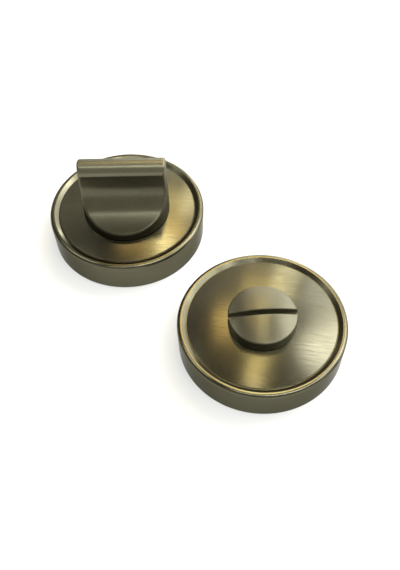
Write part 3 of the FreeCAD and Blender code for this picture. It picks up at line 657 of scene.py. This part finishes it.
def rose_bronze(name, axis, lay, tints):
    """Satin plating on a rose: the wall and rim are polished round the axis and the face
    along one direction, which is the lay. Fine grooves and streaks follow the polish,
    the shader's tangent lies across it, and the patina gathers in the groove. Polishing
    also crowns the face a little: its normal leans out by (x, y, 0) * crown."""
    finish = Finish(name)
    place = finish.local_mm(axis, 0.0)
    flat = finish.local_mm(axis, lay)
    parts = finish.add("SeparateXYZ", {0: place}).outputs
    plan = finish.add("CombineXYZ", {0: parts[0], 1: parts[1]}).outputs[0]
    radius = finish.distance(plan)
    rim = finish.ramp(radius, RIM_START, RIM_FULL, 0.0, 1.0)
    grain = finish.mix(rim, finish.stretched_noise(flat, (0.22, 6.0, 0.1), 3.0),
                       finish.stretched_noise(place, (0.05, 0.05, 8.0), 3.0), "FLOAT")
    streak = finish.mix(rim, finish.stretched_noise(flat, (0.09, 1.9, 0.1), 2.0, 7.0),
                        finish.stretched_noise(place, (0.03, 0.03, 2.4), 2.0, 7.0), "FLOAT")
    cloud = finish.noise(place, 0.09, 2.0)
    foot = finish.maths("ABSOLUTE", finish.maths("SUBTRACT", radius, GROOVE_FOOT))
    groove = finish.ramp(foot, 0.05, 0.45, 0.6, 0.0, smooth=True)
    tone = finish.maths("ADD", finish.spread(streak, -0.16, 0.16),
                        finish.ramp(cloud, CLOUD_LOW, CLOUD_HIGH, -0.10, 0.10))
    tone = finish.maths("ADD", tone, finish.spread(grain, -0.14, 0.14))
    darkening = finish.maths("ADD", finish.maths("ADD", tone, PATINA_SHARE), groove)
    shade = finish.mix(darkening, rgba(tints.bronze, 1.06), rgba(tints.bronze_dark))
    rough = finish.maths("ADD", finish.spread(grain, 0.17, 0.23),
                         finish.spread(streak, -0.02, 0.02))

    normal = finish.add("NewGeometry").outputs["Normal"]
    crown = finish.ramp(radius, RIM_START, RIM_FULL, FACE_CROWN, 0.0)
    lean = finish.world_direction(finish.vector("SCALE", {0: plan, "Scale": crown}))
    crowned = finish.vector("NORMALIZE", {0: finish.vector("ADD", {0: normal, 1: lean})})
    bump = finish.add("Bump", {"Height": grain, "Normal": crowned, "Strength": 0.11,
                               "Distance": GRAIN_DEPTH})
    back = finish.maths("MULTIPLY", parts[1], -1.0)
    round_way = finish.add("CombineXYZ", {0: back, 1: parts[0]}).outputs[0]
    over_rim = finish.vector("CROSS_PRODUCT", {0: normal, 1: finish.world_direction(round_way)})
    over_rim = finish.vector("NORMALIZE", {0: over_rim})
    over_face = finish.world_direction((-math.sin(lay), math.cos(lay), 0.0))
    across = finish.mix(rim, over_face, over_rim, "VECTOR")
    return finish.close(Base_Color=shade, Metallic=1.0, Roughness=rough, Anisotropic=0.6,
                        Specular_Tint=EDGE_TINT, Normal=bump.outputs[0], Tangent=across)


def head_bronze(name, axis, rest, scale, across, tints, shine, brushed, grit_scale,
                darkening=None, painted_light_heights=None):
    """Satin plating on the thumb turn or the button, polished one way: the scale gives the
    grooves' cycles per mm along each local axis, across is the direction over them, and
    a grit under the plating, also in cycles per mm, makes the highlights glitter a little.
    Given two height ranges in mm, a painted shade darkens the tone towards the foot over
    the first, and a painted light brightens it towards the grip over the second."""
    finish = Finish(name)
    place = finish.local_mm(axis, rest)
    grain = finish.stretched_noise(place, scale, 3.0)
    streak = finish.stretched_noise(place, tuple(s * 0.3 for s in scale), 2.0, 5.0)
    grit = finish.noise(place, grit_scale, 2.0)
    cloud = finish.noise(place, 0.12, 2.0)
    tone = finish.maths("ADD", finish.spread(streak, -0.06, 0.06),
                        finish.ramp(cloud, CLOUD_LOW, CLOUD_HIGH, -0.10, 0.10))
    tone = finish.maths("ADD", tone, finish.spread(grit, -0.22, 0.22))
    shade = finish.mix(finish.maths("ADD", tone, PATINA_SHARE), rgba(tints.bronze),
                       rgba(tints.bronze_dark))
    if darkening:
        high = finish.add("SeparateXYZ", {0: place}).outputs["Z"]
        # Painted shade, darkening the tone towards the thumb turn's foot
        shade = finish.mix(finish.ramp(high, *darkening, 1.0, 0.0), shade,
                           rgba(tints.bronze_dark, PAINTED_FOOT_SHADE))
        # Painted light, brightening the tone towards the grip
        shade = finish.mix(finish.ramp(high, *painted_light_heights, 0.0, PAINTED_GRIP_LIGHT_SHARE), shade,
                           rgba(tints.bronze, PAINTED_GRIP_LIGHT))
    rough = finish.maths("ADD", finish.spread(grit, shine - 0.02, shine + 0.04),
                         finish.spread(streak, -0.01, 0.01))
    relief = finish.mix(0.5, grain, grit, "FLOAT")
    bump = finish.add("Bump", {"Height": relief, "Strength": 0.12, "Distance": GRAIN_DEPTH})
    turned_across = (across[0] * math.cos(rest) - across[1] * math.sin(rest),
                     across[0] * math.sin(rest) + across[1] * math.cos(rest), 0.0)
    return finish.close(Base_Color=shade, Metallic=0.84, Roughness=rough, Anisotropic=brushed,
                        Specular_Tint=EDGE_TINT, Normal=bump.outputs[0],
                        Tangent=finish.world_direction(turned_across))


def moulded(name, tint, roughness, grit):
    """Moulded polymer: a fine eroded texture and slight flow marks."""
    finish = Finish(name)
    place = finish.local_mm((0, 0), 0.0)
    fine = finish.noise(place, 3.5, 4.0)
    flow = finish.noise(place, 0.2, 1.0, distortion=1.5)
    shade = finish.mix(finish.spread(flow, 0.0, 1.0), rgba(tint, 0.85), rgba(tint, 1.15))
    rough = finish.spread(fine, roughness - 0.06, roughness + 0.06)
    bump = finish.add("Bump", {"Height": fine, "Strength": grit, "Distance": 2 * GRAIN_DEPTH})
    return finish.close(Base_Color=shade, Roughness=rough, Normal=bump.outputs[0])


def plain_metal(name, tint, roughness, grain_scale):
    """Turned, rolled or plated metal with a fine grain and slight cloudy tone."""
    finish = Finish(name)
    place = finish.local_mm((0, 0), 0.0)
    grain = finish.stretched_noise(place, grain_scale, 3.0)
    cloud = finish.noise(place, 0.35, 3.0)
    shade = finish.mix(finish.spread(cloud, 0.0, 1.0), rgba(tint, 0.8), rgba(tint, 1.1))
    rough = finish.spread(grain, roughness - 0.05, roughness + 0.07)
    bump = finish.add("Bump", {"Height": grain, "Strength": 0.15, "Distance": GRAIN_DEPTH})
    return finish.close(Base_Color=shade, Metallic=1.0, Roughness=rough, Normal=bump.outputs[0])


def dress(piece, material):
    """The piece's only material."""
    piece.data.materials.clear()
    piece.data.materials.append(material)


def smooth_copy(node):
    """A CAD node's own shape with its loose triangles merged and its round walls shaded
    smooth."""
    piece = frame["nodes"][node].copy()
    piece.data = piece.data.copy()
    piece.name = node + "_finished"
    piece.data.name = piece.name
    bpy.context.scene.collection.objects.link(piece)
    # The node's own marks stay with the node
    for key in list(piece.keys()):
        del piece[key]
    piece.parent = None
    work = bmesh.new()
    work.from_mesh(piece.data)
    bmesh.ops.remove_doubles(work, verts=work.verts, dist=SAME_PLACE)
    work.to_mesh(piece.data)
    work.free()
    if piece.data.has_custom_normals:
        with bpy.context.temp_override(object=piece, active_object=piece):
            bpy.ops.mesh.customdata_custom_splitnormals_clear()
    piece.data.shade_smooth()
    piece.data.set_sharp_from_angle(angle=CAD_SHARP_EDGE)
    return piece


class LOCK_OT_roses(bpy.types.Operator):
    """Build the two turned roses"""
    bl_idname = "lock.roses"
    bl_label = "Roses"

    def execute(self, context):
        scene = context.scene
        for half, axis, lay in (("turn", TURN_AXIS, 0.0),
                                ("release", RELEASE_AXIS, math.radians(-10))):
            piece = make_rose(f"{half}_rose_turned", axis, scene.lock_rose)
            dress(piece, rose_bronze(f"{half}_rose_bronze", axis, lay, scene.lock_finishes))
            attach(piece, "root")
            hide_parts(f"{half}_rose")
        return {"FINISHED"}


class LOCK_OT_thumb_turn(bpy.types.Operator):
    """Build the scooped thumb turn"""
    bl_idname = "lock.thumb_turn"
    bl_label = "Thumb turn"

    def execute(self, context):
        scene = context.scene
        sizes = scene.lock_turn
        piece = make_thumb_turn("thumb_turn_scooped", TURN_AXIS, sizes, scene.lock_spigot)
        # The two height ranges are those of the painted shade at the foot and the painted light at
        # the grip
        dress(piece, head_bronze("thumb_turn_bronze", TURN_AXIS, sizes.rest, (5.0, 0.4, 0.4),
                                 (1, 0), scene.lock_finishes, shine=0.31, brushed=0.2,
                                 grit_scale=1.6, darkening=(14.0, 18.0), painted_light_heights=(22.0, 27.0)))
        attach(piece, "turn")
        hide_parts("thumb_turn")
        return {"FINISHED"}


class LOCK_OT_release_button(bpy.types.Operator):
    """Build the domed release button with its coin slot"""
    bl_idname = "lock.release_button"
    bl_label = "Release button"

    def execute(self, context):
        scene = context.scene
        sizes = scene.lock_button
        piece = make_release_button("release_button_slotted", RELEASE_AXIS, sizes,
                                    scene.lock_spigot)
        dress(piece, head_bronze("release_button_bronze", RELEASE_AXIS, sizes.rest,
                                 (0.15, 8.0, 0.15), (0, 1), scene.lock_finishes,
                                 shine=0.30, brushed=0.85, grit_scale=6.0))
        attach(piece, "release")
        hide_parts("release_button")
        return {"FINISHED"}


class LOCK_OT_inner_pieces(bpy.types.Operator):
    """Finish the pieces inside the roses"""
    bl_idname = "lock.inner_pieces"
    bl_label = "Inner pieces"

    def execute(self, context):
        tints = context.scene.lock_finishes
        finishes = {
            "base_polymer": moulded("moulded_nylon", tints.nylon, roughness=0.5, grit=0.35),
            "bush_polymer": moulded("natural_acetal", tints.acetal, roughness=0.35, grit=0.1),
            "spring_steel": plain_metal("bright_spring_steel", tints.spring_steel,
                                        roughness=0.28, grain_scale=(0.6, 0.6, 5.0)),
            "zinc_steel": plain_metal("zinc_plate", tints.zinc,
                                      roughness=0.36, grain_scale=(1.5, 1.5, 1.5)),
            "plain_brass": plain_metal("turned_brass", tints.brass,
                                       roughness=0.3, grain_scale=(0.4, 0.4, 6.0)),
        }
        bodies = frame["record"]["behaviour"]["bodies"]
        body_of = {node: body for body, nodes in bodies.items() for node in nodes}
        for part in frame["record"]["subparts"]:
            node, slot = part["node"], part["material_slot"]
            if slot not in finishes:
                continue
            piece = smooth_copy(node)
            dress(piece, finishes[slot])
            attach(piece, body_of[node])
            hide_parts(node)
        return {"FINISHED"}


# The photograph's camera: its place in metres, how far it looks down and how far it is
# rolled in radians, its lens on a sensor of this width, both in mm, and the nearest
# distance that it sees in metres
CAMERA_PLACE = Vector((2.76, -152.01, 207.04)) * MM
CAMERA_DOWN = 0.9426
CAMERA_ROLL = -0.0243
CAMERA_LENS = 48.70
CAMERA_SENSOR = 36.0
CAMERA_NEAR = 0.01

# The floor's half width and gap below the object in metres, its paint, and its own light
# from the object outwards: distances in metres and strengths
FLOOR_HALF = 3
FLOOR_GAP = 0.05 * MM
FLOOR_PAINT = (0.42, 0.42, 0.42, 1.0)
FLOOR_LIGHT = (0.1, 0.7, 0.52, 1.0)

# The studio round the object: tint, the side that is lighter, and its light: how far
# round towards that side, and strengths
STUDIO_TINT = (1.0, 0.96, 0.84, 1.0)
STUDIO_SIDE = Vector((0.1, -1.0, -0.1)).normalized()
STUDIO_LIGHT = (0.0, 0.95, 0.16, 0.60)

# Soft panels: name, azimuth from +Y towards +X and elevation in degrees, distance, width
# and height in metres, radiance and tint
PANELS = (
    ("back_left", -72, 58, 1.40, 0.50, 0.60, 4.0, (0.97, 1.00, 0.92)),
    ("top_gold", 8, 77, 1.40, 0.12, 0.20, 6.6, (1.00, 0.78, 0.34)),
    ("overhead", 10, 82, 1.40, 0.12, 0.12, 5.0, (1.00, 0.98, 0.86)),
    ("back_left_low", -15, 31, 1.40, 0.99, 0.91, 0.5, (1.00, 0.98, 0.90)),
    ("gold_middle", 3, 57.5, 1.00, 0.36, 0.18, 5.8, (1.00, 0.72, 0.30)),
    ("gold_low", 9, 44, 1.01, 0.20, 0.16, 3.7, (1.00, 0.79, 0.36)),
    ("back_low", 10, 16, 1.40, 0.70, 0.50, 5.5, (0.97, 0.98, 1.00)),
    ("gold_bright", 13, 63, 1.01, 0.10, 0.10, 14.0, (1.00, 0.96, 0.66)),
    ("gold_strip", 17, 38, 1.01, 0.12, 0.36, 5.2, (1.00, 0.95, 0.76)),
    ("gold_high", 13, 69, 1.40, 0.12, 0.20, 3.2, (1.00, 0.80, 0.32)),
    ("right_window", 30, 37, 1.40, 0.24, 0.50, 3.0, (0.96, 0.98, 1.00)),
    ("right_strip", 41, 52, 1.08, 0.18, 0.50, 2.4, (1.00, 0.98, 0.90)),
    ("right_low", 55, 19, 1.40, 2.03, 0.80, 3.4, (1.00, 1.00, 0.98)),
    ("right_cream", 60, 50.5, 1.40, 0.60, 0.74, 7.0, (0.98, 0.99, 1.00)),
    ("far_right", 92, 41, 1.40, 0.85, 0.50, 4.0, (0.97, 1.00, 0.92)),
    ("right_high", 116, 57, 1.40, 0.60, 0.38, 5.0, (0.97, 1.00, 0.94)),
    ("top_front", 178, 73, 1.40, 0.90, 0.16, 8.5, (0.97, 1.00, 0.92)),
    ("top_right", 142, 66, 1.40, 0.60, 0.30, 5.0, (0.97, 1.00, 0.94)),
)


class LOCK_OT_stage(bpy.types.Operator):
    """Make the pale floor, the soft panels, the surroundings and the camera"""
    bl_idname = "lock.stage"
    bl_label = "Stage"

    def execute(self, context):
        scene = context.scene
        scene.view_settings.view_transform = "Standard"
        self.make_floor(scene)
        self.make_panels(scene)
        self.make_surroundings(scene)
        self.make_camera(scene)
        return {"FINISHED"}

    def make_floor(self, scene):
        """A pale floor that the camera and the metal see as white, with the object's
        shadow on it, lighter by itself away from the object. It lies a hair below the
        object, and is clear from below."""
        mesh = bpy.data.meshes.new("floor")
        corners = [(x * FLOOR_HALF, y * FLOOR_HALF, -FLOOR_GAP)
                   for x, y in ((-1, -1), (1, -1), (1, 1), (-1, 1))]
        mesh.from_pydata(corners, [], [(0, 1, 2, 3)])
        floor = bpy.data.objects.new("floor", mesh)
        scene.collection.objects.link(floor)
        finish = Finish("pale_floor")
        path = finish.add("LightPath").outputs
        seen = finish.maths("MAXIMUM", path["Is Camera Ray"], path["Is Glossy Ray"])
        seen = finish.maths("MAXIMUM", seen, path["Is Transmission Ray"])
        paint = finish.add("BsdfDiffuse", {"Color": FLOOR_PAINT})
        away = finish.distance(finish.add("TexCoord").outputs["Object"])
        level = finish.ramp(away, *FLOOR_LIGHT)
        light = finish.add("Emission", {"Color": WHITE,
                                        "Strength": finish.maths("MULTIPLY", seen, level)})
        both = finish.add("AddShader", {0: paint.outputs[0], 1: light.outputs[0]})
        below = finish.add("NewGeometry").outputs["Backfacing"]
        clear = finish.add("BsdfTransparent")
        sides = finish.add("MixShader", {0: below, 1: both.outputs[0], 2: clear.outputs[0]})
        finish.add("OutputMaterial", {"Surface": sides.outputs[0]})
        dress(floor, finish.material)

    def make_panels(self, scene):
        """Soft panels aimed at the middle of the object. A panel's power is pi times its
        area times its radiance."""
        middle = (CAD_BOX[0] + CAD_BOX[1]) / 2
        for name, azimuth, elevation, distance, wide, tall, radiance, tint in PANELS:
            a, e = math.radians(azimuth), math.radians(elevation)
            towards = Vector((math.sin(a) * math.cos(e), math.cos(a) * math.cos(e), math.sin(e)))
            data = bpy.data.lights.new(name, "AREA")
            data.shape = "RECTANGLE"
            data.size, data.size_y = wide, tall
            data.energy = math.pi * wide * tall * radiance
            data.color = tint
            panel = bpy.data.objects.new(name, data)
            panel.location = middle + towards * distance
            panel.rotation_euler = towards.to_track_quat("Z", "Y").to_euler()
            scene.collection.objects.link(panel)

    def make_surroundings(self, scene):
        """A plain studio round the object, lighter in front of it, that the camera sees
        as white."""
        world = bpy.data.worlds.new("studio")
        world.use_nodes = True
        scene.world = world
        studio = Nodes(world.node_tree)
        way = studio.add("TexCoord").outputs["Generated"]
        front = studio.add("VectorMath", {0: way, 1: STUDIO_SIDE}, operation="DOT_PRODUCT")
        level = studio.ramp(front.outputs["Value"], *STUDIO_LIGHT, smooth=True)
        room = studio.add("Background", {"Color": STUDIO_TINT, "Strength": level})
        white = studio.add("Background", {"Color": WHITE})
        seen = studio.add("LightPath").outputs["Is Camera Ray"]
        both = studio.add("MixShader", {0: seen, 1: room.outputs[0], 2: white.outputs[0]})
        studio.add("OutputWorld", {"Surface": both.outputs[0]})

    def make_camera(self, scene):
        """The camera at the place and angles from which the photograph was taken."""
        data = bpy.data.cameras.new("camera")
        data.sensor_width = CAMERA_SENSOR
        data.lens = CAMERA_LENS
        data.clip_start = CAMERA_NEAR
        camera = bpy.data.objects.new("camera", data)
        right = Vector((1, 0, 0))
        ahead = Vector((0, math.cos(CAMERA_DOWN), -math.sin(CAMERA_DOWN)))
        up = right.cross(ahead)
        x_axis = right * math.cos(CAMERA_ROLL) + up * math.sin(CAMERA_ROLL)
        y_axis = up * math.cos(CAMERA_ROLL) - right * math.sin(CAMERA_ROLL)
        turn = Matrix((x_axis, y_axis, -ahead)).transposed()
        camera.matrix_world = Matrix.Translation(CAMERA_PLACE) @ turn.to_4x4()
        scene.collection.objects.link(camera)
        scene.camera = camera


class LOCK_PT_panel(bpy.types.Panel):
    """Buttons and sizes of the bathroom thumb turn lock"""
    bl_idname = "LOCK_PT_panel"
    bl_label = "Thumb Turn"
    bl_space_type = "VIEW_3D"
    bl_region_type = "UI"
    bl_category = "Thumb Turn"

    def draw(self, context):
        for operator in OPERATORS:
            self.layout.operator(operator.bl_idname)
        for name in GROUPS:
            box = self.layout.box()
            group = getattr(context.scene, name)
            for key in group.__annotations__:
                box.prop(group, key)


OPERATORS = (LOCK_OT_roses, LOCK_OT_thumb_turn, LOCK_OT_release_button, LOCK_OT_inner_pieces,
             LOCK_OT_stage)
GROUPS = {"lock_rose": RoseSizes, "lock_turn": TurnSizes, "lock_button": ButtonSizes,
          "lock_spigot": SpigotSizes, "lock_finishes": Finishes}


def register():
    """Register the sizes, the operators and the panel."""
    for group in GROUPS.values():
        bpy.utils.register_class(group)
    for name, group in GROUPS.items():
        setattr(bpy.types.Scene, name, PointerProperty(type=group))
    for operator in OPERATORS:
        bpy.utils.register_class(operator)
    bpy.utils.register_class(LOCK_PT_panel)


def unregister():
    """Undo register."""
    bpy.utils.unregister_class(LOCK_PT_panel)
    for operator in reversed(OPERATORS):
        bpy.utils.unregister_class(operator)
    for name in GROUPS:
        delattr(bpy.types.Scene, name)
    for group in reversed(GROUPS.values()):
        bpy.utils.unregister_class(group)


def main():
    """Build everything."""
    register()
    bpy.ops.lock.roses()
    bpy.ops.lock.thumb_turn()
    bpy.ops.lock.release_button()
    bpy.ops.lock.inner_pieces()
    bpy.ops.lock.stage()


if __name__ == "__main__":
    main()
